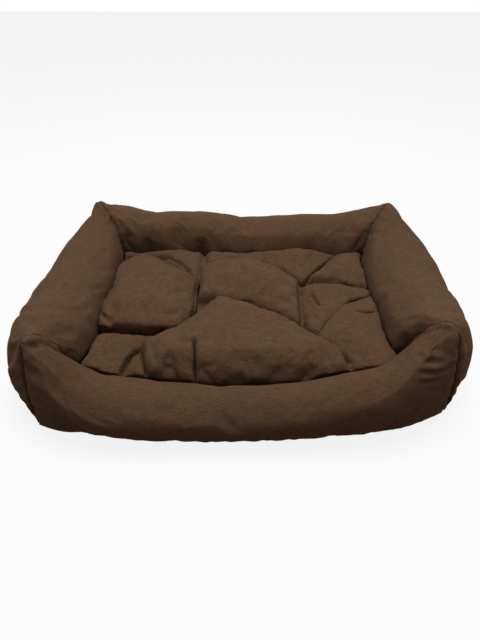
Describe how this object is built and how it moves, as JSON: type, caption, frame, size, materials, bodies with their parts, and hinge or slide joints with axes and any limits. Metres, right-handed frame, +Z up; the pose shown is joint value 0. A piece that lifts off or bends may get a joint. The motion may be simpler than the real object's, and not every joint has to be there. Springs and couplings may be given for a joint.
{
  "type": "pet bed",
  "caption": "Rectangular bolster pet bed with mitred raised corners, a low front edge and a loose crumpled cushion that lifts out.",
  "frame": {"origin": "on the floor, under the middle of the rim between its back corner peaks and the line half way to the front ones", "axes": "+Z up, +X to the right seen from the low front edge, +Y from the front edge to the back"},
  "size_m": [0.8565, 0.6369, 0.2054],
  "materials": {
    "bolster_fabric": "brown melange upholstery cloth, coarse plain weave with slubs",
    "cushion_fabric": "brown melange upholstery cloth, coarse plain weave with slubs",
    "seam_fabric": "turned-in cloth edges, brown melange",
    "base_fabric": "dark brown plain cloth",
    "fibre_filling": "off-white polyester fibre",
    "zip_tape": "dark brown woven tape",
    "zip_coil": "dark brown moulded teeth",
    "zip_metal": "dark antique brass"
  },
  "bodies": {
    "rim": {"left_bolster_cover": "bolster_fabric", "back_bolster_cover": "bolster_fabric", "right_bolster_cover": "bolster_fabric", "front_bolster_cover": "bolster_fabric", "left_bolster_filling": "fibre_filling", "back_bolster_filling": "fibre_filling", "right_bolster_filling": "fibre_filling", "front_bolster_filling": "fibre_filling", "front_left_corner_seam": "seam_fabric", "front_right_corner_seam": "seam_fabric", "back_left_corner_seam": "seam_fabric", "back_right_corner_seam": "seam_fabric", "base_bottom_panel": "base_fabric", "base_padding": "fibre_filling", "base_top_panel": "base_fabric"},
    "cushion": {"cushion_cover_top": "cushion_fabric", "cushion_cover_bottom": "cushion_fabric", "cushion_filling": "fibre_filling", "zip_tape_upper": "zip_tape", "zip_tape_lower": "zip_tape", "zip_teeth_upper": "zip_coil", "zip_teeth_lower": "zip_coil", "zip_stop_left": "zip_metal", "zip_stop_right": "zip_metal"},
    "zip_slider": {"zip_slider": "zip_metal"},
    "zip_pull": {"zip_pull": "zip_metal"}
  },
  "joints": [
    {"name": "cushion_lift", "type": "slide", "parent": "rim", "child": "cushion", "axis": [0, 0, 1], "range_m": [0, 0.3]},
    {"name": "zip_slide", "type": "slide", "parent": "cushion", "child": "zip_slider", "axis": [1, 0, 0], "range_m": [0, 0.382]},
    {"name": "zip_pull_swing", "type": "hinge", "parent": "zip_slider", "child": "zip_pull", "pos_m": [-0.1913, 0.1654, 0.0259], "axis": [0, 0, 1], "range_deg": [0, 180]}
  ]
}
